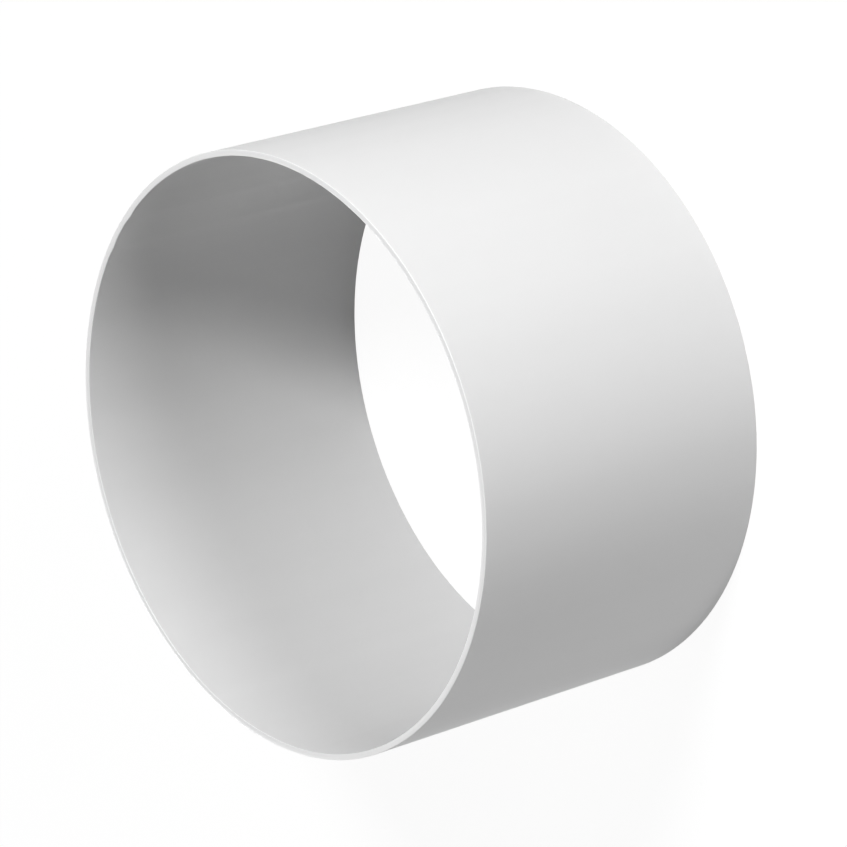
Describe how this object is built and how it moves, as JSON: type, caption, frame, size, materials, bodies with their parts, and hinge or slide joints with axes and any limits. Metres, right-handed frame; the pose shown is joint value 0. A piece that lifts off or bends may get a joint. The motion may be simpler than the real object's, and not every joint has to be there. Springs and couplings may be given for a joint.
{
  "type": "duct connector",
  "caption": "Short, thin-walled round plastic sleeve, open at both ends, that joins round ventilation ducts end to end.",
  "frame": {"origin": "middle of the lower sawn end, on the surface that the sleeve stands on", "axes": "+Z along the sleeve's axis, from the lower end to the upper end; X and Y are any two directions across it"},
  "size_m": [0.1028, 0.1028, 0.06],
  "materials": {
    "white_plastic": "satin white extruded plastic with faint die lines along the tube"
  },
  "bodies": {
    "root": {"sleeve": "white_plastic"}
  },
  "joints": []
}
